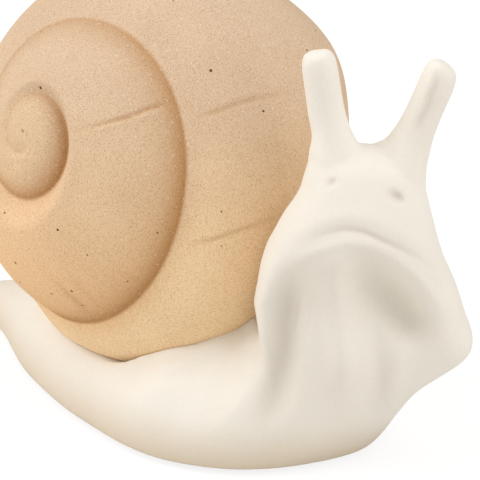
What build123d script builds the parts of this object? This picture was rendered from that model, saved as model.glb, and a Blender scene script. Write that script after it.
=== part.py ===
from build123d import *
import math
import os

# Body: reach from the middle of the shell in plan, widths, and heights from the sole
tail_reach = 80.0
neck_reach = 73.5
foot_width = 69.0
foot_height = 21.0
lobe_width = 52.0
head_depth = 28.0
crown_height = 80.8
throat_depth = 6.0
chest_ridge_height = 4.0
body_wall = 4.5

# Shell: half sizes of its dome, with the last whorl swelling towards its mouth
shell_radius = 50.0
shell_mouth_swell = 6.0
shell_apex_depth = 46.0
shell_base_depth = 44.0
shell_axis_tilt = 18.0
shell_wall = 4.0
suture_depth = 2.8

# Seat between shell and body
saddle_clearance = 0.4
seat_height = 17.0
seat_flat_depth = 9.1
seat_bond_thickness = 0.8
seat_bond_margin = 3.0
pour_hole_radius = 11.0
spigot_clearance = 0.6
spigot_height = 3.0
vent_radius = 5.0

# Tentacles
tentacle_spacing = 14.6
tentacle_base_height = 76.0
tentacle_length = 25.5
right_tentacle_spread = 4.4
left_tentacle_spread = 9.8
tentacle_tip_radius = 3.7
tentacle_root_radius = 7.0
tentacle_root_depth = 9.0

# Felt pads
pad_radius = 6.0
pad_thickness = 1.2

# Points of each ring, and how far cutting shapes run past what they cut
body_ring_points = 28
skin_columns = 48
skin_rows_per_station = 2
skin_tolerance = 0.05
shell_rings = 32
shell_ring_points = 40
dome_rings = 15
dome_ring_points = 24
shell_end_angle = 2.0
flat_halvings = 40
flat_heading_step = 15
cutting_overrun = 5.0

# Foot, from the tail forwards: place along the tail's reach, aside as a share of the foot's width,
# height, half width, height above and depth below as shares of the foot's sizes
foot_station_shares = [
    (0.99, 0.0, 0.0, 0.05, 0.08, 0.1),
    (0.94, 0.0, 0.0, 0.13, 0.19, 0.24),
    (0.81, 0.0, 0.0, 0.25, 0.36, 0.33),
    (0.60, 0.0, 0.05, 0.41, 0.55, 0.48),
    (0.325, 0.0, 0.10, 0.725, 0.86, 0.67),
    (0.025, 0.0, 0.14, 0.94, 1.0, 0.86),
    (-0.225, -0.015, 0.19, 1.0, 1.0, 1.0),
]

# Neck and head, from the foot upwards: place along the neck's reach, aside as a share of the lobes'
# width, height, then yaw, pitch and roll in degrees, half width, depth to the back and to the front,
# depth of the throat, its span, the chest's ridge and the roundness of the front
neck_station_shares = [
    (0.42, -0.04, 0.075, 3, 7, 0, 1.32, 0.75, 0.86, 0.0, 0.0, 0.0, 0.88),
    (0.58, -0.06, 0.12, 9, 20, 1, 1.25, 0.75, 0.82, 0.0, 0.0, 0.0, 0.88),
    (0.715, -0.085, 0.165, 17, 36, 3, 1.06, 0.75, 0.68, 0.0, 0.0, 0.0, 0.85),
    (0.825, -0.075, 0.23, 26, 52, 5, 0.85, 0.66, 0.52, 0.15, 0.9, 0.25, 0.8),
    (0.905, -0.03, 0.32, 35, 68, 8, 0.77, 0.55, 0.48, 0.5, 0.9, 0.6, 0.72),
    (0.96, 0.02, 0.433, 40, 81, 9, 1.0, 0.52, 0.5, 0.75, 0.95, 0.9, 0.66),
    (0.97, -0.01, 0.55, 40, 85, 9, 0.945, 0.5, 0.5, 1.0, 0.85, 1.0, 0.7),
    (0.975, -0.035, 0.645, 40, 86, 9, 0.86, 0.48, 0.5, 0.9, 0.65, 0.9, 0.75),
    (0.985, -0.055, 0.71, 40, 87, 9, 0.77, 0.45, 0.5, 0.65, 0.45, 0.5, 0.8),
    (0.99, -0.06, 0.76, 40, 88, 9, 0.71, 0.43, 0.5, 0.0, 0.0, 0.0, 0.88),
    (1.0, -0.065, 0.84, 40, 90, 9, 0.62, 0.375, 0.43, 0.0, 0.0, 0.0, 0.88),
    (1.0, -0.063, 0.91, 40, 91, 9, 0.555, 0.315, 0.35, 0.0, 0.0, 0.0, 0.88),
    (0.998, -0.058, 0.953, 40, 92, 8, 0.495, 0.265, 0.293, 0.0, 0.0, 0.0, 0.88),
    (0.997, -0.054, 0.98, 40, 92, 8, 0.377, 0.193, 0.214, 0.0, 0.0, 0.0, 0.88),
    (0.997, -0.052, 0.994, 40, 92, 8, 0.215, 0.111, 0.121, 0.0, 0.0, 0.0, 0.88),
    (0.997, -0.052, 0.999, 40, 92, 8, 0.08, 0.042, 0.045, 0.0, 0.0, 0.0, 0.88),
]
foot_roundness_share = 0.88
ridge_aside_share = -0.15
ridge_width_share = 0.2
cavity_first_station = 3
cavity_stations_left_at_crown = 4

# Angle of the suture from the shell's axis, in degrees, at each quarter turn of its spiral
suture_angles = [1.0, 2.2, 6.5, 9.8, 13.0, 17.0, 23.0, 28.5, 38.0, 54.0, 66.6, 72.0]
suture_first_turn = -270.0
quarter_turn = 90.0

# Suture, in degrees: the turns over which it deepens, widens and fades out, and its spread to the
# apex's side and to the mouth's side
suture_rise_start = -220.0
suture_rise_turn = 450.0
suture_growth_start = 100.0
suture_growth_turn = 400.0
suture_end_turn = 640.0
suture_fade_turn = 70.0
suture_inner_spread = 4.0
suture_inner_growth = 5.0
suture_outer_spread = 3.0
suture_outer_growth = 2.5

# Swelling of the last whorl, in degrees: the turn where it is widest, and its spread
swell_turn = 246.0
swell_spread = 58.0
lowest_turn = 270.0

# Tentacle stations: share of its length above its base, and radius as a share of the root's radius
tentacle_station_shares = [(0.14, 0.9), (0.3, 0.714), (0.6, 0.593)]
tentacle_tip_shares = [(0.97, 1.0), (1.0, 0.9), (1.015, 0.6)]
tentacle_root_shares = [(-1.0, 0.79), (-0.22, 1.0)]
tentacle_joint_share = 0.25

# Pads: places along and across the foot as shares of its reach and width
pad_along_shares = {"front": -0.5, "rear": 0.38}
pad_across_shares = {"front": 0.27, "rear": 0.17}


class Station:
    """One cross-section of the body, with its place, its directions and its half sizes."""

    def __init__(self, place, yaw, pitch, roll, sizes, throat, roundness):
        self.place = place
        self.half, self.back, self.front = sizes
        self.hollow, self.span, self.ridge = throat
        self.roundness = roundness
        facing = Vector(0, -1, 0).rotate(Axis.Z, -yaw)
        level = Vector(1, 0, 0).rotate(Axis.Z, -yaw)
        self.across = level.rotate(Axis((0, 0, 0), tuple(facing)), -roll)
        upright = facing.cross(self.across)
        self.dorsal = upright.rotate(Axis((0, 0, 0), tuple(self.across)), -pitch)
        self.onward = self.dorsal.cross(self.across)


def foot_stations():
    stations = []
    for along, aside, height, half, above, below in foot_station_shares:
        place = Vector(aside * foot_width, along * tail_reach, height * foot_height)
        sizes = (half * foot_width / 2, above * foot_height, below * foot_height)
        stations.append(Station(place, 0, 0, 0, sizes, (0, 0, 0), foot_roundness_share))
    return stations


def neck_stations():
    stations = []
    for row in neck_station_shares:
        along, aside, height, yaw, pitch, roll, half, back, front, hollow, span, ridge, bulge = row
        place = Vector(aside * lobe_width, -along * neck_reach, height * crown_height)
        sizes = (half * lobe_width / 2, back * head_depth, front * head_depth)
        throat = (hollow * throat_depth, span, ridge * chest_ridge_height)
        stations.append(Station(place, yaw, pitch, roll, sizes, throat, bulge))
    return stations


def body_ring(station, inset):
    """Points round the body at a station, from its back round, set in by the thickness of the wall."""
    points = []
    for index in range(body_ring_points):
        angle = math.pi / 2 + 2 * math.pi * index / body_ring_points
        cosine = math.cos(angle)
        sine = math.sin(angle)
        power = foot_roundness_share if sine >= 0 else station.roundness
        across = math.copysign(abs(cosine) ** power, cosine)
        dorsal = math.copysign(abs(sine) ** power, sine)
        if sine >= 0:
            dorsal *= station.back - inset
        else:
            dorsal *= station.front - inset
            if abs(across) < station.span:
                dorsal += station.hollow * (1 + math.cos(math.pi * across / station.span)) / 2
                offset = (across - ridge_aside_share) / ridge_width_share
                dorsal -= station.ridge * math.exp(-offset * offset)
        aside = station.across * (across * (station.half - inset))
        points.append(station.place + aside + station.dorsal * dorsal)
    return points


def even_ring(points):
    """Points at equal steps along the closed curve through a ring's points, ending at the first."""
    curve = Edge.make_spline(points, periodic=True)
    steps = [curve.position_at(step / skin_columns) for step in range(skin_columns)]
    return steps + steps[:1]


def between(values, place):
    """A smooth value at a place between the entries of a list of numbers or points."""
    step = min(int(place), len(values) - 2)
    share = place - step
    before = values[max(step - 1, 0)]
    start = values[step]
    end = values[step + 1]
    after = values[min(step + 2, len(values) - 1)]
    square = share * share
    cube = square * share
    ends = start * (2 * cube - 3 * square + 1) + end * (3 * square - 2 * cube)
    return ends + ((end - before) * (cube - 2 * square + share) + (after - start) * (cube - square)) / 2


def skin_through(stations, inset):
    """A solid whose smooth skin runs through the rings of the stations, flat at both ends."""
    rings = [even_ring(body_ring(station, inset)) for station in stations]
    columns = list(zip(*rings))
    rows = []
    for step in range((len(rings) - 1) * skin_rows_per_station + 1):
        rows.append([between(column, step / skin_rows_per_station) for column in columns])
    skin = Face.make_surface_from_array_of_points(rows, tol=skin_tolerance, min_deg=3, max_deg=3)
    caps = [Face(Wire([edge])) for edge in skin.edges() if edge.is_closed]
    return Solid(Shell([skin, *caps]))


def above_plane(height):
    """A block that fills everything above a height."""
    size = 2 * (tail_reach + neck_reach + crown_height)
    return Box(size, size, size, align=(Align.CENTER, Align.CENTER, Align.MIN)).moved(
        Location((0, 0, height))
    )


def body_skin():
    return skin_through(foot_stations() + neck_stations(), 0)


def body_cavity():
    stations = foot_stations() + neck_stations()
    inner = stations[cavity_first_station : len(stations) - cavity_stations_left_at_crown]
    return skin_through(inner, body_wall)


def suture_angle(turn):
    """The suture's angle from the axis, in degrees, at an unwound angle of its spiral."""
    place = (turn - suture_first_turn) / quarter_turn
    return between(suture_angles, min(max(place, 0.0), len(suture_angles) - 1.0))


def ease(share):
    share = min(max(share, 0.0), 1.0)
    return share * share * (3 - 2 * share)


def suture_dip(polar, turn):
    """How far the suture's valley lies under the dome, at a polar angle and a turn in degrees."""
    deepest = 0.0
    for lap in (-1, 0, 1):
        unwound = turn + lap * 4 * quarter_turn
        rise = ease((unwound - suture_rise_start) / suture_rise_turn)
        fade = 1 - ease((unwound - suture_end_turn) / suture_fade_turn)
        growth = ease((unwound - suture_growth_start) / suture_growth_turn)
        offset = polar - suture_angle(unwound)
        if offset < 0:
            spread = suture_inner_spread + suture_inner_growth * growth
        else:
            spread = suture_outer_spread + suture_outer_growth * growth
        deepest = max(deepest, rise * fade * math.exp(-((offset / spread) ** 2)))
    return deepest * suture_depth


def widest_radius(turn):
    """Radius of the plain dome across its axis, at a turn in degrees."""
    away = (turn - swell_turn + 180) % 360 - 180
    return shell_radius + shell_mouth_swell * math.exp(-((away / swell_spread) ** 2))


def dome_radius(polar, turn):
    """Distance of the plain dome from its centre."""
    cosine = math.cos(math.radians(polar))
    sine = math.sin(math.radians(polar))
    depth = shell_apex_depth if cosine > 0 else shell_base_depth
    return 1 / math.hypot(sine / widest_radius(turn), cosine / depth)


def shell_directions():
    """The shell's tilted axis, and the two directions across it that its turns are counted from."""
    tilt = math.radians(shell_axis_tilt)
    axis = Vector(-math.cos(tilt), 0, math.sin(tilt))
    return axis, Vector(0, 1, 0), Vector(math.sin(tilt), 0, math.cos(tilt))


def shell_centre():
    """The dome's centre, so high that its lowest part lies under the seat by the depth of its flat."""
    tilt = math.radians(shell_axis_tilt)
    low = math.hypot(shell_base_depth * math.sin(tilt), widest_radius(lowest_turn) * math.cos(tilt))
    return Vector(0, 0, seat_height - seat_flat_depth + low)


def shell_skin(offset, ring_count, ring_points, sutures):
    """The shell's dome, moved out by an offset, as a loft through rings about its tilted axis."""
    axis, back, up = shell_directions()
    centre = shell_centre()
    rings = []
    for count in range(ring_count + 1):
        polar = shell_end_angle + (180 - 2 * shell_end_angle) * count / ring_count
        at_end = count in (0, ring_count)
        points = []
        for index in range(ring_points):
            turn = 360 * index / ring_points
            radius = dome_radius(polar, 0 if at_end else turn) + offset
            if sutures and not at_end:
                radius -= suture_dip(polar, turn)
            around = back * math.cos(math.radians(turn)) + up * math.sin(math.radians(turn))
            outward = axis * math.cos(math.radians(polar)) + around * math.sin(math.radians(polar))
            points.append(centre + outward * radius)
        rings.append(Wire(Edge.make_spline(points, periodic=True)))
    return Solid.make_loft(rings)


def flat_reach(start, heading):
    """How far the plain dome reaches from a start inside it, level, at a heading in degrees."""
    axis, back, up = shell_directions()
    direction = Vector(1, 0, 0).rotate(Axis.Z, heading)
    near = 0.0
    far = 2 * (shell_radius + shell_mouth_swell)
    for _ in range(flat_halvings):
        middle = (near + far) / 2
        offset = start + direction * middle - shell_centre()
        turn = math.degrees(math.atan2(offset.dot(up), offset.dot(back)))
        polar = math.degrees(math.acos(offset.dot(axis) / offset.length))
        if offset.length < dome_radius(polar, turn):
            near = middle
        else:
            far = middle
    return near


def seat_place():
    """The middle of the dome's flat."""
    start = Vector(0, 0, seat_height)
    across = (flat_reach(start, 0) - flat_reach(start, 180)) / 2
    along = (flat_reach(start, 90) - flat_reach(start, 270)) / 2
    return start + Vector(across, along, 0)


def seat_bond_radius():
    """The largest ring of adhesive that stays inside the flat's edge by the margin."""
    place = seat_place()
    reaches = [flat_reach(place, heading) for heading in range(0, 360, flat_heading_step)]
    return min(reaches) - seat_bond_margin


def upright_cylinder(radius, bottom, top):
    place = seat_place()
    shape = Cylinder(radius, top - bottom, align=(Align.CENTER, Align.CENTER, Align.MIN))
    return shape.moved(Location((place.X, place.Y, bottom)))


def make_shell():
    """A hollow casting, flat where it sits, with its pour hole in the flat."""
    outside = shell_skin(0, shell_rings, shell_ring_points, True) & above_plane(seat_height)
    hollow = shell_skin(-shell_wall - suture_depth, dome_rings, dome_ring_points, False)
    hollow = hollow & above_plane(seat_height + shell_wall)
    hole = upright_cylinder(
        pour_hole_radius, seat_height - cutting_overrun, seat_height + shell_wall + cutting_overrun
    )
    return outside - (hollow + hole)


def make_body(stubs):
    """The hollow foot, neck and head, with the saddle, the seat, its spigot and the vent."""
    seat_top = seat_height - seat_bond_thickness
    saddle = shell_skin(saddle_clearance, dome_rings, dome_ring_points, False) & above_plane(seat_top)
    roof = shell_skin(saddle_clearance + body_wall, dome_rings, dome_ring_points, False)
    roof = roof & above_plane(seat_top - body_wall)
    outside = (body_skin() & above_plane(0)) - saddle
    for stub in stubs:
        outside = outside + stub
    inside = (body_cavity() & above_plane(body_wall)) - roof
    spigot = upright_cylinder(
        pour_hole_radius - spigot_clearance, seat_top, seat_height + spigot_height
    )
    vent = upright_cylinder(vent_radius, seat_top / 2, seat_height + spigot_height + cutting_overrun)
    return outside - inside + spigot - vent


def make_shell_bond():
    """A flat ring of adhesive between the flat's edge and the pour hole."""
    seat_top = seat_height - seat_bond_thickness
    ring = upright_cylinder(seat_bond_radius(), seat_top, seat_height)
    return ring - upright_cylinder(pour_hole_radius + seat_bond_margin, seat_top, seat_height)


def make_horn(side, spread):
    """A tentacle with its flared root, cut into the part on the head and the part above it."""
    head = neck_stations()[-1]
    root = Vector(head.place.X, head.place.Y, tentacle_base_height)
    root += head.across * (side * tentacle_spacing / 2)
    reach = head.across * (side * spread) + Vector(0, 0, tentacle_length)
    rings = []
    for share, width in tentacle_root_shares:
        rings.append((root + Vector(0, 0, share * tentacle_root_depth), width * tentacle_root_radius))
    for share, width in tentacle_station_shares:
        rings.append((root + reach * share, width * tentacle_root_radius))
    for share, width in tentacle_tip_shares:
        rings.append((root + reach * share, width * tentacle_tip_radius))
    wires = []
    for index, (middle, radius) in enumerate(rings):
        ahead = rings[min(index + 1, len(rings) - 1)][0]
        behind = rings[max(index - 1, 0)][0]
        wires.append(Wire(Edge.make_circle(radius, Plane(origin=middle, z_dir=ahead - behind))))
    horn = Solid.make_loft(wires)
    joint = Plane(origin=root + reach * tentacle_joint_share, z_dir=reach)
    return horn.split(joint, keep=Keep.BOTTOM), horn.split(joint, keep=Keep.TOP)


def make_pad(end, side):
    reach = neck_reach if end == "front" else tail_reach
    along = pad_along_shares[end] * reach
    across = side * pad_across_shares[end] * foot_width
    disc = Cylinder(pad_radius, pad_thickness, align=(Align.CENTER, Align.CENTER, Align.MAX))
    return disc.moved(Location((across, along, 0)))


def make_parts():
    right_stub, right_tentacle = make_horn(-1, right_tentacle_spread)
    left_stub, left_tentacle = make_horn(1, left_tentacle_spread)
    parts = {
        "body": make_body([right_stub, left_stub]),
        "shell": make_shell(),
        "shell_bond": make_shell_bond(),
        "tentacle_right": right_tentacle,
        "tentacle_left": left_tentacle,
    }
    for end in ("front", "rear"):
        for side_name, side in (("right", -1), ("left", 1)):
            parts[f"foot_pad_{end}_{side_name}"] = make_pad(end, side)
    return parts


def ground_place(parts):
    """The middle of the underside of the box round all parts, measured on points of their skins."""
    points = [point for shape in parts.values() for point in shape.tessellate(skin_tolerance)[0]]
    low = [min(point.X for point in points), min(point.Y for point in points)]
    high = [max(point.X for point in points), max(point.Y for point in points)]
    return Vector((low[0] + high[0]) / 2, (low[1] + high[1]) / 2, -pad_thickness)


def write_parts():
    """Stands the figurine on the ground with its box centred, and writes one file a piece."""
    parts = make_parts()
    shift = Location(-ground_place(parts))
    os.makedirs("parts", exist_ok=True)
    for name, shape in parts.items():
        piece = shape.moved(shift)
        piece.label = name
        export_step(piece, f"parts/{name}.step")


write_parts()
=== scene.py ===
import math

import bmesh
import bpy
import numpy as np
from mathutils import Matrix, Vector


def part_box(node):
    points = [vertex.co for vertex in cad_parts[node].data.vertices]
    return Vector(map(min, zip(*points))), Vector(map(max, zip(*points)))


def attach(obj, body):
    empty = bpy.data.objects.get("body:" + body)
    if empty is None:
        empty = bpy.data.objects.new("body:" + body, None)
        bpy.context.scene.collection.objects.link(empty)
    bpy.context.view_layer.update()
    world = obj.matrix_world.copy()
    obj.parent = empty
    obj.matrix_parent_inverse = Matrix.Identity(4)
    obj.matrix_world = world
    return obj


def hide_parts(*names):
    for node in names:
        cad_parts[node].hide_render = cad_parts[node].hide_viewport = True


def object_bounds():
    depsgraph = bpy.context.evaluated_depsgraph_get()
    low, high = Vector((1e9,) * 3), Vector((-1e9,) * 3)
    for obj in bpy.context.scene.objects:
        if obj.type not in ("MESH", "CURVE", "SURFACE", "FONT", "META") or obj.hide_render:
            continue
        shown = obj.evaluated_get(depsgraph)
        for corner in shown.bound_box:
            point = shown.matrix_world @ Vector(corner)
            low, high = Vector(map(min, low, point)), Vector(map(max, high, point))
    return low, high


# Units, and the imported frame
MM = 0.001
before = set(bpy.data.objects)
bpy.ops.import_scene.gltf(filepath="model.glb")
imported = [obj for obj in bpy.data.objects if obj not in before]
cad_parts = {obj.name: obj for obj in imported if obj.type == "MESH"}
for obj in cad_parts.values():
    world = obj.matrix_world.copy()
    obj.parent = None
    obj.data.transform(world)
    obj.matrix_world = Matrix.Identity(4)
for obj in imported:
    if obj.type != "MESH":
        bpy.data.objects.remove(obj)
cad_low, cad_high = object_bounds()
random = np.random.default_rng(7)

# Camera, as the photograph was taken, in degrees, metres and pixels of its 480 pixel frame
FRAME_SIZE = 480
SENSOR_WIDTH = 36.0
LENS = 165.5
PIXELS_PER_SLOPE = LENS / SENSOR_WIDTH * FRAME_SIZE
CAMERA_AZIMUTH = -42.0
CAMERA_ELEVATION = 18.0
CAMERA_DISTANCE = 560 * MM
SHELL_CENTRE_PIXEL = (159, 150)

# Shell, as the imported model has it
SHELL_CENTRE_FROM_SEAT = Vector((5.14, 2.83, 45)) * MM
SHELL_RADIUS = 50 * MM
SHELL_SWELL = 6 * MM
APEX_DEPTH = 46 * MM
BASE_DEPTH = 44 * MM
AXIS_TILT = math.radians(18)
SWELL_TURN = 246
SWELL_SPREAD = 58

# Suture: its angle from the axis at every quarter turn, where it starts, swells and fades, in degrees, and
# how wide its valley and the painted shade on its inner side are, each with what it gains as the shell
# grows
SUTURE_ANGLES = np.array([1.0, 2.2, 6.5, 9.8, 12.2, 14.4, 22.0, 28.5, 40.3, 54.5, 66.6, 72.0])
SUTURE_FIRST_TURN = -270
SUTURE_END_TURN = 640
SUTURE_FADE = 70
SUTURE_RISE_START = -220
SUTURE_RISE_TURN = 450
SUTURE_GROWTH_START = 100
SUTURE_GROWTH_TURN = 400
SUTURE_DEPTH = 5.0 * MM
SUTURE_DEEP_TURN = 210
SUTURE_UNEVENNESS = 0.3
INNER_SPREAD = 3.5
INNER_GROWTH = 10.0
INNER_POWER = 1.3
OUTER_SPREAD = 2.5
OUTER_GROWTH = 6.0
SHADE_SPREAD = 2.0
SHADE_GROWTH = 3.5
SHADE_POWER = 1.2
SHADE_OUTER_SPREAD = 0.7

# Painted bounce light on the last whorl low down: the softness of its edge, and the height where it fades
PALE_EDGE = 6.0
PALE_EDGE_GROWTH = 40.0
PALE_HEIGHT = 85 * MM
PALE_FADE = 55 * MM

# Shell mesh
SHELL_RINGS = 380
SHELL_RING_POINTS = 540

# Body: the fineness of its surface, the plug that closes its vent, and how far it is smoothed before
# and after modelling
BODY_VOXEL = 0.5 * MM
PLUG_RADIUS = 11.4 * MM
PLUG_DEPTH = 8 * MM
PLUG_SIDES = 48
FIRST_SMOOTHING = (0.5, 14)
LAST_SMOOTHING = (0.3, 2)

# Tentacles: their nodes, the steepness and flatness of their joint, and the space round each
TENTACLES = ("tentacle_left", "tentacle_right")
JOINT_SLOPE = -0.85
JOINT_FLATNESS = 0.9999
TENTACLE_SPACE = 7.6 * MM

# Felt pads: their nodes, the rings of their faces as shares of the radius, and how soft and uneven
# their edges are
PADS = ("foot_pad_front_left", "foot_pad_front_right", "foot_pad_rear_left", "foot_pad_rear_right")
PAD_POINTS = 96
PAD_RINGS = (0.25, 0.5, 0.75)
PAD_EDGE_STEPS = 4
PAD_EDGE_SHARE = 0.3
PAD_ROUGHNESS = 0.08 * MM
PAD_FIBRE = 0.5 * MM

# Modelling, as strokes over pixels of the photograph: a stroke's path, its half width in pixels, how
# far it raises the surface, and the shares of its path over which it fades in and out
BODY_STROKES = {
    "mouth_crease": ([(300, 244), (325, 234), (345, 229), (364, 232), (390, 244), (415, 256),
                      (446, 277)], 2.8, -0.6 * MM, 0.45, 0.5),
    "upper_lip": ([(272, 246), (300, 231), (325, 221), (348, 216), (370, 219), (398, 232), (425, 247),
                   (452, 272)], 9.0, 0.35 * MM, 0.2, 0.2),
    "lower_lip": ([(284, 270), (312, 253), (345, 243), (368, 246), (392, 259), (418, 276), (440, 303),
                   (450, 325)], 6.0, 0.5 * MM, 0.2, 0.2),
    "throat": ([(300, 310), (340, 290), (380, 305), (420, 330)], 42.0, -2.4 * MM, 0.1, 0.1),
    "left_hollow": ([(306, 262), (291, 285), (286, 315), (284, 350), (280, 385), (270, 415),
                     (250, 446)], 16.0, -5.2 * MM, 0.25, 0.4),
    "right_hollow": ([(356, 262), (372, 280), (390, 302), (410, 322), (436, 342)],
                     17.0, -3.4 * MM, 0.3, 0.35),
    "left_edge": ([(272, 250), (259, 285), (255, 325), (251, 365), (240, 400), (220, 430), (190, 446)],
                  8.0, 1.0 * MM, 0.2, 0.6),
    "chest_ridge": ([(337, 252), (338, 300), (341, 340), (344, 375), (346, 425)],
                    16.0, 3.0 * MM, 0.3, 0.4),
    "chest_valley": ([(364, 285), (374, 335), (378, 375), (374, 415)], 10.0, -0.8 * MM, 0.35, 0.35),
    "chest_bump": ([(406, 335), (397, 370), (386, 412)], 11.0, 1.2 * MM, 0.3, 0.3),
    "scratch": ([(301, 292), (297, 315), (292, 338)], 1.8, -0.3 * MM, 0.4, 0.5),
    "second_scratch": ([(314, 300), (309, 330), (303, 362)], 1.8, -0.2 * MM, 0.4, 0.5),
    "tool_mark": ([(352, 262), (362, 272), (370, 290)], 2.4, -0.2 * MM, 0.4, 0.5),
    "left_eye": ([(325, 187), (331, 183), (336, 180)], 3.6, -0.6 * MM, 0.4, 0.2),
    "right_eye": ([(388, 191), (396, 196), (403, 201)], 4.4, -1.1 * MM, 0.4, 0.15),
    "horn_groove": ([(438, 72), (437, 84), (431, 96), (429, 106), (421, 120), (413, 141)],
                    4.0, -0.55 * MM, 0.2, 0.3),
    "horn_ridge": ([(431, 76), (429, 88), (424, 98), (421, 110), (414, 124)], 3.6, 0.2 * MM, 0.3, 0.3),
    "saddle_groove": ([(120, 376), (160, 379), (192, 370), (212, 356), (236, 338)],
                      5.0, -0.4 * MM, 0.4, 0.3),
}
SHELL_STROKES = {
    "upper_line": ([(66, 134), (96, 126), (128, 117), (150, 108), (172, 102)], 2.6, -0.4 * MM, 0.5, 0.2),
    "upper_edge": ([(66, 139), (96, 131), (128, 122), (150, 113), (172, 107)], 2.8, 0.15 * MM, 0.5, 0.2),
    "outer_line": ([(188, 120), (215, 112), (240, 102), (300, 88)], 2.6, -0.35 * MM, 0.25, 0.5),
    "lower_line": ([(182, 245), (210, 241), (245, 229), (300, 210)], 2.6, -0.35 * MM, 0.25, 0.5),
    "faint_line": ([(50, 276), (66, 293), (80, 304), (96, 320)], 2.8, -0.25 * MM, 0.4, 0.4),
    "faint_line_beside": ([(66, 272), (80, 288), (98, 303)], 2.8, -0.15 * MM, 0.4, 0.4),
}

# Strokes whose creases also get painted shade, wide hollows that get a share of that painted shade, and
# how closely a stroke's dabs follow each other, as a share of its width
SHADED_STROKES = ("mouth_crease", "left_eye", "right_eye", "horn_groove", "scratch")
HOLLOW_STROKES = ("left_hollow", "right_hollow")
HOLLOW_SHADE = 0.17
STROKE_STEP_SHARE = 0.5

# Corrections of the outline, in pixels of the photograph: where, how far aside and down, and over
# what distance
NUDGES = [
    ((302, 140), (5, 0), 18),
    ((300, 188), (5, 0), 24),
    ((366, 152), (-1, -4), 14),
    ((306, 161), (3, 0), 9),
    ((190, 346), (0, 6), 26),
    ((256, 321), (0, -10), 17),
    ((380, 147), (0, -3), 7),
    ((441, 66), (0, -6), 17),
    ((429, 172), (-2.5, 0), 13),
]
SHELL_NUDGES = [((318, 50), (11, 0), 62)]

# Height over which the corrections set in, so that the underside stays flat
NUDGE_FLOOR = 14 * MM

# Body against the shell: how close it must come to be drawn on to it, and how far it then sinks in
HUG_REACH = 3.0 * MM
HUG_DEPTH = 0.25 * MM

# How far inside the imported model's box the visible one stays
BOX_MARGIN = 0.01 * MM

# How a surface's share of the modelling falls as it turns away from the camera
FACING_START = -0.05
FACING_RANGE = 0.3

# Plain white, as a colour without its alpha
WHITE = (1.0, 1.0, 1.0)

# Ceramic: the sizes of its clouds, dust and grain, the height of the painted shade low down, and how
# strongly the painted shade in its creases shows
CERAMIC_CLOUD = 22 * MM
CERAMIC_DUST = 0.7 * MM
CERAMIC_GRAIN = 0.8 * MM
CERAMIC_GRAIN_DEPTH = 0.02 * MM
CERAMIC_LOW_SHADE_HEIGHT = 16 * MM
CERAMIC_CREASE_SHARE = 0.55

# Stoneware: the heights of its painted light gradient, its clouds and sand, and its grains and pinholes,
# each as the spacing of their cells, the largest radius and the share of cells that have one
PAINTED_LIGHT_LOW = 20 * MM
PAINTED_LIGHT_HIGH = 100 * MM
CLAY_CLOUD = 14 * MM
SAND_SIZE = 0.3 * MM
SAND_DEPTH = 0.12 * MM
LIGHT_GRAINS = (0.75 * MM, 0.21 * MM, 0.5)
LIGHT_GRAIN_SHARE = 0.45
DARK_GRAINS = (1.1 * MM, 0.24 * MM, 0.3)
DARK_GRAIN_SHARE = 0.4
PINHOLES = (3.4 * MM, 0.42 * MM, 0.25)
PINHOLE_RELIEF = 2.0

# Felt and adhesive
FELT_FIBRE = 0.25 * MM
FELT_FLECK = 1.5 * MM
FELT_DEPTH = 0.2 * MM
ADHESIVE_DRAG = 2.5 * MM
ADHESIVE_BUBBLES = (1.4 * MM, 0.3 * MM, 0.3)
ADHESIVE_DEPTH = 0.15 * MM

# Floor and surround
FLOOR_REACH = 3.0
FLOOR_COLOUR = (0.78, 0.765, 0.74, 1)
FLOOR_GLOW = 1.15
FLOOR_GLOW_SHARE = 0.72
SURROUND_STRENGTH = 0.54
BACKDROP_COLOUR = (0.8, 0.8, 0.8, 1)

# Lamps: how far each stands aside, above and towards the camera, and its size, in metres, and its power
LAMPS = {
    "key": (-1.1, 0.75, 0.05, 1.1, 9.6),
    "top": (0.0, 1.3, 0.3, 1.2, 3.6),
    "fill": (1.0, 0.6, 0.7, 1.4, 8.2),
}


def seat_place():
    """Middle of the seat: the top of the adhesive ring."""
    low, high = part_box("shell_bond")
    return Vector(((low.x + high.x) / 2, (low.y + high.y) / 2, high.z))


SEAT = seat_place()
SHELL_CENTRE = SEAT + SHELL_CENTRE_FROM_SEAT


# Camera

def make_camera():
    """The camera stands where the photograph's did, turned so that the shell's middle meets its pixel."""
    azimuth = math.radians(CAMERA_AZIMUTH)
    elevation = math.radians(CAMERA_ELEVATION)
    level = math.cos(elevation)
    back = Vector((math.sin(azimuth) * level, -math.cos(azimuth) * level, math.sin(elevation)))
    right = Vector((math.cos(azimuth), math.sin(azimuth), 0))
    up = back.cross(right)
    half = FRAME_SIZE / 2
    aside = (half - SHELL_CENTRE_PIXEL[0]) / PIXELS_PER_SLOPE
    above = (SHELL_CENTRE_PIXEL[1] - half) / PIXELS_PER_SLOPE
    aim = (right * aside + up * above - back).normalized()
    data = bpy.data.cameras.new("photo_camera")
    data.sensor_width = SENSOR_WIDTH
    data.lens = LENS
    camera = bpy.data.objects.new("photo_camera", data)
    bpy.context.scene.collection.objects.link(camera)
    straight = Matrix((right, up, back)).transposed().to_quaternion()
    camera.rotation_mode = "QUATERNION"
    camera.rotation_quaternion = (-back).rotation_difference(aim) @ straight
    camera.location = SHELL_CENTRE + back * CAMERA_DISTANCE
    bpy.context.scene.camera = camera
    return camera


def photo_pixels(points, camera):
    """Where points stand in the photograph, in its pixels."""
    turn = np.array(camera.rotation_quaternion.to_matrix())
    seen = (points - np.array(camera.location)) @ turn
    scale = PIXELS_PER_SLOPE / -seen[:, 2]
    half = FRAME_SIZE / 2
    return np.column_stack([half + seen[:, 0] * scale, half - seen[:, 1] * scale])


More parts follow.
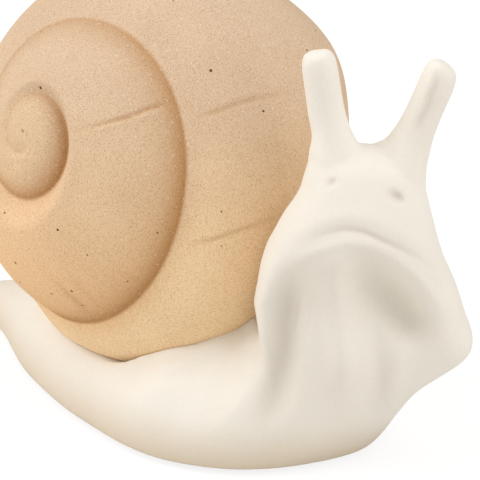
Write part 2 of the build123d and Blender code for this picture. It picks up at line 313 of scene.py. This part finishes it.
def facing_share(normals, points, camera):
    """1 where a surface looks at the camera, falling to 0 where it looks away."""
    views = np.array(camera.location) - points
    views /= np.linalg.norm(views, axis=1, keepdims=True)
    return ease(((normals * views).sum(axis=1) - FACING_START) / FACING_RANGE)


# Meshes as arrays

def read_points(mesh):
    points = np.empty(len(mesh.vertices) * 3, np.float32)
    mesh.vertices.foreach_get("co", points)
    return points.reshape(-1, 3).astype(float)


def read_normals(mesh):
    normals = np.empty(len(mesh.vertices) * 3, np.float32)
    mesh.vertices.foreach_get("normal", normals)
    return normals.reshape(-1, 3).astype(float)


def write_points(mesh, points):
    mesh.vertices.foreach_set("co", points.astype(np.float32).ravel())
    mesh.update()


def write_shares(mesh, name, shares):
    layer = mesh.attributes.new(name, "FLOAT", "POINT")
    layer.data.foreach_set("value", shares.astype(np.float32))


def smooth_points(mesh, share, rounds):
    """Draws each point a share of the way to the middle of its neighbours, as many times as rounds."""
    edges = np.empty(len(mesh.edges) * 2, np.int32)
    mesh.edges.foreach_get("vertices", edges)
    edges = edges.reshape(-1, 2)
    points = read_points(mesh)
    count = len(points)
    ends = np.concatenate([edges[:, 0], edges[:, 1]])
    others = np.concatenate([edges[:, 1], edges[:, 0]])
    degree = np.maximum(np.bincount(ends, minlength=count), 1)
    for _ in range(rounds):
        for axis in range(3):
            mean = np.bincount(ends, weights=points[others, axis], minlength=count) / degree
            points[:, axis] += (mean - points[:, axis]) * share
    write_points(mesh, points)


def ease(share):
    share = np.clip(share, 0.0, 1.0)
    return share * share * (3 - 2 * share)


def swells(points, size, count=14):
    """A smooth random field over points, about -1 to 1, whose hills are about a size across."""
    directions = random.normal(size=(count, 3))
    directions /= np.linalg.norm(directions, axis=1, keepdims=True)
    rates = np.pi / size * random.uniform(0.6, 1.4, count)
    phases = random.uniform(0, 2 * np.pi, count)
    field = np.zeros(len(points))
    for direction, rate, phase in zip(directions, rates, phases):
        field += np.sin(points @ direction * rate + phase)
    return field / math.sqrt(count)


def dabs_along(path, spacing):
    """Evenly spaced places along a path, each with its share of the path's length."""
    path = np.array(path, float)
    lengths = np.linalg.norm(np.diff(path, axis=0), axis=1)
    ends = np.concatenate([[0], np.cumsum(lengths)])
    shares = np.linspace(0, 1, max(int(ends[-1] / spacing), 2) + 1)
    places = [np.interp(shares * ends[-1], ends, path[:, axis]) for axis in range(2)]
    return np.column_stack(places), shares, ends[-1] / (len(shares) - 1)


def stroke_lift(pixels, strokes):
    """How far strokes raise each point, from where the points stand in the photograph."""
    lift = np.zeros(len(pixels))
    for path, width, height, fade_in, fade_out in strokes.values():
        places, shares, spacing = dabs_along(path, width * STROKE_STEP_SHARE)
        weights = ease(shares / fade_in) * ease((1 - shares) / fade_out)
        weights *= spacing / (width * math.sqrt(math.pi))
        for place, weight in zip(places, weights):
            lift += height * weight * np.exp(-((pixels - place) ** 2).sum(axis=1) / width ** 2)
    return lift


def new_piece(name, mesh):
    piece = bpy.data.objects.new(name, mesh)
    bpy.context.scene.collection.objects.link(piece)
    for polygon in mesh.polygons:
        polygon.use_smooth = True
    return piece


# Shell

def suture_angle(turn):
    """The suture's angle from the shell's axis, in degrees, at an unwound angle of its spiral."""
    last = len(SUTURE_ANGLES) - 1
    place = np.clip((turn - SUTURE_FIRST_TURN) / 90, 0, last)
    step = np.minimum(place.astype(int), last - 1)
    share = place - step
    before = SUTURE_ANGLES[np.maximum(step - 1, 0)]
    start = SUTURE_ANGLES[step]
    end = SUTURE_ANGLES[step + 1]
    after = SUTURE_ANGLES[np.minimum(step + 2, last)]
    square = share * share
    cube = square * share
    ends = start * (2 * cube - 3 * square + 1) + end * (3 * square - 2 * cube)
    return ends + ((end - before) * (cube - 2 * square + share) + (after - start) * (cube - square)) / 2


def suture_profiles(polar, turn):
    """Depth of the suture's valley and the painted shade of its inner side, from 0 to 1, at angles in
    degrees.
    """
    deepest = np.zeros_like(polar)
    darkest = np.zeros_like(polar)
    for lap in (-1, 0, 1):
        unwound = turn + lap * 360
        fade = ease((unwound - SUTURE_RISE_START) / SUTURE_RISE_TURN)
        fade *= 1 - ease((unwound - SUTURE_END_TURN) / SUTURE_FADE)
        fade *= 1 - SUTURE_UNEVENNESS * (1 - np.cos(np.radians(turn - SUTURE_DEEP_TURN)))
        growth = ease((unwound - SUTURE_GROWTH_START) / SUTURE_GROWTH_TURN)
        offset = polar - suture_angle(unwound)
        inside = np.exp(-(np.abs(offset) / (INNER_SPREAD + INNER_GROWTH * growth)) ** INNER_POWER)
        outside = np.exp(-((offset / (OUTER_SPREAD + OUTER_GROWTH * growth)) ** 2))
        deepest = np.maximum(deepest, fade * np.where(offset < 0, inside, outside))
        inside = np.exp(-(np.abs(offset) / (SHADE_SPREAD + SHADE_GROWTH * growth)) ** SHADE_POWER)
        outside = np.exp(-((offset / SHADE_OUTER_SPREAD) ** 2))
        darkest = np.maximum(darkest, fade * np.where(offset < 0, inside, outside))
    return deepest, darkest


def dome_radius(polar, turn):
    """Distance of the shell's surface from its middle, before the suture is cut into it."""
    away = (turn - SWELL_TURN + 180) % 360 - 180
    widest = SHELL_RADIUS + SHELL_SWELL * np.exp(-((away / SWELL_SPREAD) ** 2))
    cosine = np.cos(np.radians(polar))
    depth = np.where(cosine > 0, APEX_DEPTH, BASE_DEPTH)
    return 1 / np.hypot(np.sin(np.radians(polar)) / widest, cosine / depth)


def shell_axes():
    """The shell's own axis, and the two directions that its turn is measured from and towards."""
    axis = np.array([-math.cos(AXIS_TILT), 0, math.sin(AXIS_TILT)])
    back = np.array([0.0, 1.0, 0.0])
    up = np.array([math.sin(AXIS_TILT), 0, math.cos(AXIS_TILT)])
    return axis, back, up


def shell_grid():
    """Polar angle and turn of each point of the shell's grid, in degrees, the two ends left out."""
    polar = np.linspace(0, 180, SHELL_RINGS + 2)[1:-1]
    turn = np.arange(SHELL_RING_POINTS) * 360 / SHELL_RING_POINTS
    return [grid.ravel() for grid in np.meshgrid(polar, turn, indexing="ij")]


def grid_faces(rings, points, first, last):
    """Quads between the rings of a closed grid, and fans to its two end points."""
    faces = []
    for ring in range(rings - 1):
        low = ring * points
        for index in range(points):
            following = (index + 1) % points
            faces.append((low + index, low + points + index, low + points + following, low + following))
    top = (rings - 1) * points
    for index in range(points):
        following = (index + 1) % points
        faces.append((first, index, following))
        faces.append((last, top + following, top + index))
    return faces


def make_shell(camera):
    polar, turn = shell_grid()
    axis, back, up = shell_axes()
    depth, darkness = suture_profiles(polar, turn)
    radius = dome_radius(polar, turn) - SUTURE_DEPTH * depth
    around = np.outer(np.cos(np.radians(turn)), back) + np.outer(np.sin(np.radians(turn)), up)
    outward = np.outer(np.cos(np.radians(polar)), axis) + around * np.sin(np.radians(polar))[:, None]
    points = np.array(SHELL_CENTRE) + outward * radius[:, None]
    pixels = photo_pixels(points, camera)
    lift = stroke_lift(pixels, SHELL_STROKES) * facing_share(outward, points, camera)
    points += outward * lift[:, None]
    points += nudge_shifts(points, pixels, camera, SHELL_NUDGES)
    ends = [
        np.array(SHELL_CENTRE) + axis * (APEX_DEPTH - SUTURE_DEPTH),
        np.array(SHELL_CENTRE) - axis * BASE_DEPTH,
    ]
    points = np.vstack([points, ends])
    keep_in_box(points)
    count = len(polar)
    mesh = bpy.data.meshes.new("shell_form")
    mesh.from_pydata(points.tolist(), [], grid_faces(SHELL_RINGS, SHELL_RING_POINTS, count, count + 1))
    mesh.update()
    # Painted shade along the suture's inner side and in the growth lines' grooves.
    write_shares(mesh, "shade", np.append(darkness - lift / MM, [0, 0]))
    # Painted bounce light: the last whorl is paler low down.
    ending = ease((turn + 360 - SUTURE_END_TURN) / SUTURE_FADE)
    border = suture_angle(turn + 360) * (1 - ending) + suture_angle(turn) * ending
    last_whorl = ease((polar - border) / (PALE_EDGE + PALE_EDGE_GROWTH * ending))
    low_down = ease((PALE_HEIGHT - points[:-2, 2]) / PALE_FADE)
    write_shares(mesh, "pale", np.append(last_whorl * low_down, [0, 0]))
    cut_flat(mesh, SEAT.z)
    shell = new_piece("shell_form", mesh)
    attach(shell, "root")
    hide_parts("shell")
    return shell


def cut_flat(mesh, height):
    """Cuts the mesh off level at a height and closes it there."""
    work = bmesh.new()
    work.from_mesh(mesh)
    everything = work.verts[:] + work.edges[:] + work.faces[:]
    cut = bmesh.ops.bisect_plane(
        work, geom=everything, plane_co=(0, 0, height), plane_no=(0, 0, 1), clear_inner=True
    )
    rim = [part for part in cut["geom_cut"] if isinstance(part, bmesh.types.BMEdge)]
    bmesh.ops.holes_fill(work, edges=rim, sides=0)
    bmesh.ops.recalc_face_normals(work, faces=work.faces[:])
    work.to_mesh(mesh)
    work.free()
    mesh.update()


# Body and tentacles

def cast_mesh():
    """One closed mesh of the body and its tentacles, with the vent plugged so that it has no inside."""
    work = bmesh.new()
    for node in ("body", *TENTACLES):
        work.from_mesh(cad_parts[node].data)
    plug = Matrix.Translation(SEAT - Vector((0, 0, PLUG_DEPTH / 2)))
    bmesh.ops.create_cone(
        work, cap_ends=True, segments=PLUG_SIDES, radius1=PLUG_RADIUS, radius2=PLUG_RADIUS,
        depth=PLUG_DEPTH, matrix=plug,
    )
    rough = bpy.data.meshes.new("rough_body")
    work.to_mesh(rough)
    work.free()
    holder = bpy.data.objects.new("rough_body", rough)
    bpy.context.scene.collection.objects.link(holder)
    remesh = holder.modifiers.new("remesh", "REMESH")
    remesh.mode = "VOXEL"
    remesh.voxel_size = BODY_VOXEL
    evaluated = holder.evaluated_get(bpy.context.evaluated_depsgraph_get())
    mesh = bpy.data.meshes.new_from_object(evaluated)
    bpy.data.objects.remove(holder)
    keep_outside(mesh)
    return mesh


def keep_outside(mesh):
    """Drops the inner skin of a closed hollow mesh: all but the island that reaches lowest."""
    work = bmesh.new()
    work.from_mesh(mesh)
    lowest = min(work.verts, key=lambda point: point.co.z)
    outside = {lowest}
    border = [lowest]
    while border:
        point = border.pop()
        for edge in point.link_edges:
            other = edge.other_vert(point)
            if other not in outside:
                outside.add(other)
                border.append(other)
    bmesh.ops.delete(work, geom=[point for point in work.verts if point not in outside], context="VERTS")
    work.to_mesh(mesh)
    work.free()
    mesh.update()


def sculpt_body(mesh, camera):
    """Eyes, lip, and the other marks of the modelling hand."""
    smooth_points(mesh, *FIRST_SMOOTHING)
    points = read_points(mesh)
    normals = read_normals(mesh)
    pixels = photo_pixels(points, camera)
    facing = facing_share(normals, points, camera)
    lift = stroke_lift(pixels, BODY_STROKES) * facing
    # Painted shade: the creases get darker colour, and the hollows a share of it.
    creases = {name: BODY_STROKES[name] for name in SHADED_STROKES}
    hollows = {name: BODY_STROKES[name] for name in HOLLOW_STROKES}
    shade = -stroke_lift(pixels, creases) - stroke_lift(pixels, hollows) * HOLLOW_SHADE
    shade *= facing / MM
    views = np.array(camera.location) - points
    points += views / np.linalg.norm(views, axis=1, keepdims=True) * lift[:, None]
    points += nudge_shifts(points, pixels, camera, NUDGES)
    hug_shell(points)
    write_points(mesh, points)
    smooth_points(mesh, *LAST_SMOOTHING)
    points = read_points(mesh)
    keep_in_box(points)
    write_points(mesh, points)
    write_shares(mesh, "shade", shade)


def nudge_shifts(points, pixels, camera, nudges):
    """Sideways shifts, as the photograph shows them, that correct the outline."""
    right = np.array(camera.rotation_quaternion @ Vector((1, 0, 0)))
    down = np.array(camera.rotation_quaternion @ Vector((0, -1, 0)))
    size = np.linalg.norm(points - np.array(camera.location), axis=1) / PIXELS_PER_SLOPE
    shifts = np.zeros_like(points)
    for place, (aside, lower), reach in nudges:
        share = np.exp(-(np.linalg.norm(pixels - place, axis=1) / reach) ** 2) * size
        share *= ease(points[:, 2] / NUDGE_FLOOR)
        shifts += share[:, None] * (right * aside + down * lower)
    return shifts


def keep_in_box(points):
    """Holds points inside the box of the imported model."""
    np.clip(points, np.array(cad_low) + BOX_MARGIN, np.array(cad_high) - BOX_MARGIN, out=points)


def hug_shell(points):
    """Draws what lies close outside the shell onto it, so that no gap shows at the joint."""
    axis, back, up = shell_axes()
    offset = points - np.array(SHELL_CENTRE)
    distance = np.linalg.norm(offset, axis=1)
    polar = np.degrees(np.arccos(offset @ axis / distance))
    turn = np.degrees(np.arctan2(offset @ up, offset @ back))
    gap = distance - dome_radius(polar, turn) + SUTURE_DEPTH * suture_profiles(polar, turn)[0]
    near = 1 - ease((np.abs(gap) - HUG_REACH / 2) / (HUG_REACH / 2))
    near *= ease((points[:, 2] - SEAT.z) / HUG_REACH)
    points -= offset / distance[:, None] * (near * (gap + HUG_DEPTH))[:, None]


def tentacle_joint(node):
    """Middle of the flat face at which a tentacle meets the body, and the way up out of it."""
    faces = [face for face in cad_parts[node].data.polygons if face.normal.z < JOINT_SLOPE]
    widest = max(faces, key=lambda face: face.area)
    joint = [face for face in faces if face.normal.dot(widest.normal) > JOINT_FLATNESS]
    middle = Vector()
    for face in joint:
        middle += face.center * face.area
    return middle / sum(face.area for face in joint), -widest.normal


def close_cut(work):
    """Closes the open rim of a cut with a flat face and sharp edges."""
    rim = [edge for edge in work.edges if edge.is_boundary]
    for edge in rim:
        edge.smooth = False
    bmesh.ops.holes_fill(work, edges=rim, sides=0)


def faces_past(work, middle, direction, start):
    """Faces round a tentacle's axis that lie further along it than a start."""
    chosen = []
    for face in work.faces:
        offset = face.calc_center_median() - middle
        along = offset.dot(direction)
        if along > start and (offset - direction * along).length < TENTACLE_SPACE:
            chosen.append(face)
    return chosen


def cut_off(mesh, middle, direction):
    """Cuts a tentacle off at its joint and returns it; both it and what is left are closed."""
    work = bmesh.new()
    work.from_mesh(mesh)
    near = faces_past(work, middle, direction, -TENTACLE_SPACE)
    edges = {edge for face in near for edge in face.edges}
    points = {point for face in near for point in face.verts}
    cut = bmesh.ops.bisect_plane(work, geom=[*points, *edges, *near], plane_co=middle, plane_no=direction)
    seam = [part for part in cut["geom_cut"] if isinstance(part, bmesh.types.BMEdge)]
    bmesh.ops.split_edges(work, edges=seam)
    above = {face.index for face in faces_past(work, middle, direction, 0)}
    work.faces.ensure_lookup_table()
    top = work.copy()
    top.faces.ensure_lookup_table()
    bmesh.ops.delete(top, geom=[face for face in top.faces if face.index not in above], context="FACES")
    bmesh.ops.delete(work, geom=[face for face in work.faces if face.index in above], context="FACES")
    tentacle = bpy.data.meshes.new("tentacle")
    for part, target in ((top, tentacle), (work, mesh)):
        close_cut(part)
        part.to_mesh(target)
        part.free()
        target.update()
    return tentacle


def make_castings(camera):
    """The body and its tentacles, modelled as one surface and cut where the tentacles were joined."""
    mesh = cast_mesh()
    sculpt_body(mesh, camera)
    parts = {node: cut_off(mesh, *tentacle_joint(node)) for node in TENTACLES}
    parts["body"] = mesh
    material = ceramic_material()
    for node, part in parts.items():
        piece = new_piece(node + "_form", part)
        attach(piece, "root")
        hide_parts(node)
        give_material(piece, material)


# Felt pads

def make_pad(node):
    """A die-cut felt disc, soft at its edges and uneven as pressed fibre is."""
    low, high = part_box(node)
    radius = (high.x - low.x) / 2
    thickness = high.z - low.z
    edge = thickness * PAD_EDGE_SHARE
    profile = [(radius * share, 0.0) for share in PAD_RINGS]
    for step in range(PAD_EDGE_STEPS + 1):
        angle = math.pi / 2 * step / PAD_EDGE_STEPS
        profile.append((radius - edge + edge * math.sin(angle), edge - edge * math.cos(angle)))
    for step in range(PAD_EDGE_STEPS + 1):
        angle = math.pi / 2 * step / PAD_EDGE_STEPS
        profile.append((radius - edge + edge * math.cos(angle), thickness - edge + edge * math.sin(angle)))
    profile += [(radius * share, thickness) for share in reversed(PAD_RINGS)]
    points = []
    for reach, height in profile:
        for index in range(PAD_POINTS):
            angle = 2 * math.pi * index / PAD_POINTS
            points.append((reach * math.cos(angle), reach * math.sin(angle), height))
    points = np.array(points + [(0, 0, 0), (0, 0, thickness)])
    inwards = PAD_ROUGHNESS * (1 + swells(points, PAD_FIBRE)) / 2
    points[:, :2] *= (1 - np.clip(inwards, 0, 2 * PAD_ROUGHNESS) / radius)[:, None]
    points += [(low.x + high.x) / 2, (low.y + high.y) / 2, low.z]
    mesh = bpy.data.meshes.new(node + "_form")
    last = len(points) - 1
    faces = grid_faces(len(profile), PAD_POINTS, last - 1, last)
    mesh.from_pydata(points.tolist(), [], [face[::-1] for face in faces])
    mesh.update()
    pad = new_piece(node + "_form", mesh)
    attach(pad, "root")
    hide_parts(node)
    return pad


# Materials

def new_material(name):
    material = bpy.data.materials.new(name)
    material.use_nodes = True
    tree = material.node_tree
    return material, tree, tree.nodes["Principled BSDF"]


def add_node(tree, kind, **inputs):
    node = tree.nodes.new(kind)
    for name, value in inputs.items():
        node.inputs[name.replace("_", " ")].default_value = value
    return node


def add_noise(tree, size, detail):
    """Noise over the object's own coordinates, with features of about a size in metres."""
    place = tree.nodes.new("ShaderNodeTexCoord")
    noise = add_node(tree, "ShaderNodeTexNoise", Scale=1 / size, Detail=detail)
    tree.links.new(place.outputs["Object"], noise.inputs["Vector"])
    return noise.outputs["Fac"]


def add_ramp(tree, source, stops):
    ramp = tree.nodes.new("ShaderNodeValToRGB")
    while len(ramp.color_ramp.elements) < len(stops):
        ramp.color_ramp.elements.new(0.5)
    for element, (place, colour) in zip(ramp.color_ramp.elements, stops):
        element.position = place
        element.color = (*colour, 1)
    tree.links.new(source, ramp.inputs["Fac"])
    return ramp.outputs["Color"]


def add_share(tree, name):
    share = tree.nodes.new("ShaderNodeAttribute")
    share.attribute_name = name
    return share.outputs["Fac"]


def add_math(tree, operation, first, second, clamp=False):
    node = tree.nodes.new("ShaderNodeMath")
    node.operation = operation
    node.use_clamp = clamp
    for socket, value in zip(node.inputs, (first, second)):
        if isinstance(value, (int, float)):
            socket.default_value = value
        else:
            tree.links.new(value, socket)
    return node.outputs[0]


def add_mix(tree, share, first, second, blend="MIX"):
    """Mixes two colours, each a socket or a value, by a share that is a socket or a number."""
    node = tree.nodes.new("ShaderNodeMix")
    node.data_type = "RGBA"
    node.blend_type = blend
    sockets = {socket.identifier: socket for socket in node.inputs}
    for name, value in (("Factor_Float", share), ("A_Color", first), ("B_Color", second)):
        if isinstance(value, (int, float)):
            sockets[name].default_value = value
        elif isinstance(value, tuple):
            sockets[name].default_value = (*value, 1)
        else:
            tree.links.new(value, sockets[name])
    return [socket for socket in node.outputs if socket.identifier == "Result_Color"][0]


def add_pits(tree, spacing, radius, chosen):
    """Dots of a radius, one in some of the cells of a spacing; chosen is the share of the cells."""
    place = tree.nodes.new("ShaderNodeTexCoord")
    cells = add_node(tree, "ShaderNodeTexVoronoi", Scale=1 / spacing)
    tree.links.new(place.outputs["Object"], cells.inputs["Vector"])
    parts = tree.nodes.new("ShaderNodeSeparateColor")
    tree.links.new(cells.outputs["Color"], parts.inputs["Color"])
    size = add_math(tree, "MULTIPLY", parts.outputs["Green"], radius / spacing)
    inside = add_math(tree, "LESS_THAN", cells.outputs["Distance"], size)
    picked = add_math(tree, "LESS_THAN", parts.outputs["Red"], chosen)
    return add_math(tree, "MULTIPLY", inside, picked)


def add_bump(tree, surface, height, depth):
    bump = add_node(tree, "ShaderNodeBump", Strength=1.0, Distance=depth)
    tree.links.new(height, bump.inputs["Height"])
    tree.links.new(bump.outputs["Normal"], surface.inputs["Normal"])


def height_share(tree, low, high):
    """0 at a height of the object, rising to 1 at another."""
    place = tree.nodes.new("ShaderNodeTexCoord")
    parts = tree.nodes.new("ShaderNodeSeparateXYZ")
    tree.links.new(place.outputs["Object"], parts.inputs["Vector"])
    share = tree.nodes.new("ShaderNodeMapRange")
    share.interpolation_type = "SMOOTHSTEP"
    share.inputs["From Min"].default_value = low
    share.inputs["From Max"].default_value = high
    tree.links.new(parts.outputs["Z"], share.inputs["Value"])
    return share.outputs["Result"]


def set_finish(surface, roughness, shine):
    surface.inputs["Roughness"].default_value = roughness
    surface.inputs["Specular IOR Level"].default_value = shine


def ceramic_material():
    """Matte warm white, a little cloudy, painted shade low down and in creases and hollows, fine grain."""
    material, tree, surface = new_material("pale_ceramic")
    clouds = [(0.3, (0.87, 0.81, 0.715)), (0.7, (0.90, 0.85, 0.76))]
    dust = [(0.3, (0.98, 0.972, 0.96)), (0.55, WHITE)]
    low_painted_shade = (0.87, 0.79, 0.69)
    crease = (0.60, 0.52, 0.43)
    colour = add_ramp(tree, add_noise(tree, CERAMIC_CLOUD, 3), clouds)
    colour = add_mix(tree, 1.0, colour, add_ramp(tree, add_noise(tree, CERAMIC_DUST, 4), dust), "MULTIPLY")
    # Painted shade low down, where the floor shades the body.
    tint = add_mix(tree, height_share(tree, 0, CERAMIC_LOW_SHADE_HEIGHT), low_painted_shade, WHITE)
    colour = add_mix(tree, 1.0, colour, tint, "MULTIPLY")
    # Painted shade in the creases and hollows.
    depth = add_math(tree, "MULTIPLY", add_share(tree, "shade"), CERAMIC_CREASE_SHARE, clamp=True)
    colour = add_mix(tree, depth, colour, crease)
    tree.links.new(colour, surface.inputs["Base Color"])
    set_finish(surface, 0.62, 0.3)
    add_bump(tree, surface, add_noise(tree, CERAMIC_GRAIN, 5), CERAMIC_GRAIN_DEPTH)
    return material


def stoneware_material():
    """Sandy clay, light grains, dark pinholes; painted sheen high up, more orange painted shade low down
    and in sutures.
    """
    material, tree, surface = new_material("sandy_stoneware")
    low_painted_warmth = (0.97, 0.66, 0.37)
    high_painted_sheen = (0.75, 0.565, 0.40)
    painted_bounce_light = (0.99, 0.745, 0.465)
    clouds = [(0.3, (0.95, 0.93, 0.91)), (0.7, WHITE)]
    hollow = (0.50, 0.26, 0.10)
    sand = [(0.3, (0.73, 0.60, 0.46)), (0.47, (0.96, 0.93, 0.89)), (0.6, WHITE)]
    light_grain = (0.93, 0.83, 0.70)
    dark_grain = (0.58, 0.32, 0.14)
    pinhole = (0.16, 0.08, 0.04)
    # Painted light by height: more orange low down, paler and pinker high up as painted sheen.
    colour = add_mix(tree, height_share(tree, PAINTED_LIGHT_LOW, PAINTED_LIGHT_HIGH), low_painted_warmth, high_painted_sheen)
    # Painted bounce light low on the last whorl.
    colour = add_mix(tree, add_share(tree, "pale"), colour, painted_bounce_light)
    colour = add_mix(tree, 1.0, colour, add_ramp(tree, add_noise(tree, CLAY_CLOUD, 3), clouds), "MULTIPLY")
    # Painted shade, in deeper orange, along the sutures and the growth lines' grooves.
    depth = add_math(tree, "MULTIPLY", add_share(tree, "shade"), 1.0, clamp=True)
    colour = add_mix(tree, depth, colour, hollow)
    sand_noise = add_noise(tree, SAND_SIZE, 3)
    colour = add_mix(tree, 1.0, colour, add_ramp(tree, sand_noise, sand), "MULTIPLY")
    light_grains = add_math(tree, "MULTIPLY", add_pits(tree, *LIGHT_GRAINS), LIGHT_GRAIN_SHARE)
    colour = add_mix(tree, light_grains, colour, light_grain)
    dark_grains = add_math(tree, "MULTIPLY", add_pits(tree, *DARK_GRAINS), DARK_GRAIN_SHARE)
    colour = add_mix(tree, dark_grains, colour, dark_grain)
    pinholes = add_pits(tree, *PINHOLES)
    colour = add_mix(tree, pinholes, colour, pinhole)
    tree.links.new(colour, surface.inputs["Base Color"])
    set_finish(surface, 0.95, 0.15)
    relief = add_math(tree, "SUBTRACT", sand_noise, add_math(tree, "MULTIPLY", pinholes, PINHOLE_RELIEF))
    add_bump(tree, surface, relief, SAND_DEPTH)
    return material


def felt_material():
    """Grey-beige felt of short matted fibres."""
    material, tree, surface = new_material("grey_felt")
    fibre_colours = [(0.3, (0.34, 0.31, 0.27)), (0.7, (0.56, 0.53, 0.48))]
    flecks = [(0.35, (0.85, 0.85, 0.85)), (0.65, WHITE)]
    fibres = add_noise(tree, FELT_FIBRE, 6)
    colour = add_ramp(tree, fibres, fibre_colours)
    colour = add_mix(tree, 1.0, colour, add_ramp(tree, add_noise(tree, FELT_FLECK, 3), flecks), "MULTIPLY")
    tree.links.new(colour, surface.inputs["Base Color"])
    set_finish(surface, 1.0, 0.1)
    surface.inputs["Sheen Weight"].default_value = 0.4
    add_bump(tree, surface, fibres, FELT_DEPTH)
    return material


def adhesive_material():
    """Cured grey adhesive with trowel drag and small air bubbles."""
    material, tree, surface = new_material("cured_adhesive")
    drag_colours = [(0.3, (0.62, 0.59, 0.53)), (0.7, (0.74, 0.71, 0.65))]
    bubble = (0.45, 0.42, 0.37)
    drag = add_noise(tree, ADHESIVE_DRAG, 5)
    bubbles = add_pits(tree, *ADHESIVE_BUBBLES)
    colour = add_mix(tree, bubbles, add_ramp(tree, drag, drag_colours), bubble)
    tree.links.new(colour, surface.inputs["Base Color"])
    set_finish(surface, 0.55, 0.5)
    add_bump(tree, surface, add_math(tree, "SUBTRACT", drag, bubbles), ADHESIVE_DEPTH)
    return material


def give_material(piece, material):
    piece.data.materials.clear()
    piece.data.materials.append(material)


# Floor and light

def make_floor():
    """A pale floor that looks white but still shows the object's shadow."""
    mesh = bpy.data.meshes.new("floor")
    corners = [(-1, -1, 0), (1, -1, 0), (1, 1, 0), (-1, 1, 0)]
    mesh.from_pydata([Vector(corner) * FLOOR_REACH for corner in corners], [], [(0, 1, 2, 3)])
    floor = bpy.data.objects.new("floor", mesh)
    bpy.context.scene.collection.objects.link(floor)
    material, tree, surface = new_material("floor_white")
    surface.inputs["Base Color"].default_value = FLOOR_COLOUR
    set_finish(surface, 1, 0)
    glow = add_node(tree, "ShaderNodeEmission", Strength=FLOOR_GLOW)
    path = tree.nodes.new("ShaderNodeLightPath")
    seen = add_math(tree, "MAXIMUM", path.outputs["Is Camera Ray"], path.outputs["Is Glossy Ray"])
    share = add_math(tree, "MULTIPLY", seen, FLOOR_GLOW_SHARE)
    mix = tree.nodes.new("ShaderNodeMixShader")
    tree.links.new(share, mix.inputs["Fac"])
    tree.links.new(surface.outputs["BSDF"], mix.inputs[1])
    tree.links.new(glow.outputs["Emission"], mix.inputs[2])
    tree.links.new(mix.outputs["Shader"], tree.nodes["Material Output"].inputs["Surface"])
    give_material(floor, material)


def make_surround():
    """Even light from all round, with a white backdrop where the camera looks past the floor."""
    world = bpy.data.worlds.new("studio")
    bpy.context.scene.world = world
    world.use_nodes = True
    tree = world.node_tree
    background = tree.nodes["Background"]
    background.inputs["Color"].default_value = (1, 1, 1, 1)
    background.inputs["Strength"].default_value = SURROUND_STRENGTH
    white = add_node(tree, "ShaderNodeBackground", Color=BACKDROP_COLOUR, Strength=1.0)
    path = tree.nodes.new("ShaderNodeLightPath")
    mix = tree.nodes.new("ShaderNodeMixShader")
    tree.links.new(path.outputs["Is Camera Ray"], mix.inputs["Fac"])
    tree.links.new(background.outputs["Background"], mix.inputs[1])
    tree.links.new(white.outputs["Background"], mix.inputs[2])
    tree.links.new(mix.outputs["Shader"], tree.nodes["World Output"].inputs["Surface"])


def make_lamp(name, camera, aside, above, towards, size, power):
    """A square soft lamp that looks at the shell's middle."""
    data = bpy.data.lights.new(name, "AREA")
    data.shape = "SQUARE"
    data.size = size
    data.energy = power
    lamp = bpy.data.objects.new(name, data)
    bpy.context.scene.collection.objects.link(lamp)
    offset = camera.rotation_quaternion @ Vector((aside, 0, towards))
    offset.z += above
    lamp.location = SHELL_CENTRE + offset
    lamp.rotation_mode = "QUATERNION"
    lamp.rotation_quaternion = (-offset).to_track_quat("-Z", "Y")


camera = make_camera()
shell = make_shell(camera)
give_material(shell, stoneware_material())
make_castings(camera)
felt = felt_material()
for pad_node in PADS:
    give_material(make_pad(pad_node), felt)
give_material(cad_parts["shell_bond"], adhesive_material())
make_floor()
make_surround()
for lamp_name, lamp_values in LAMPS.items():
    make_lamp(lamp_name, camera, *lamp_values)

bpy.context.scene.view_settings.view_transform = "Standard"
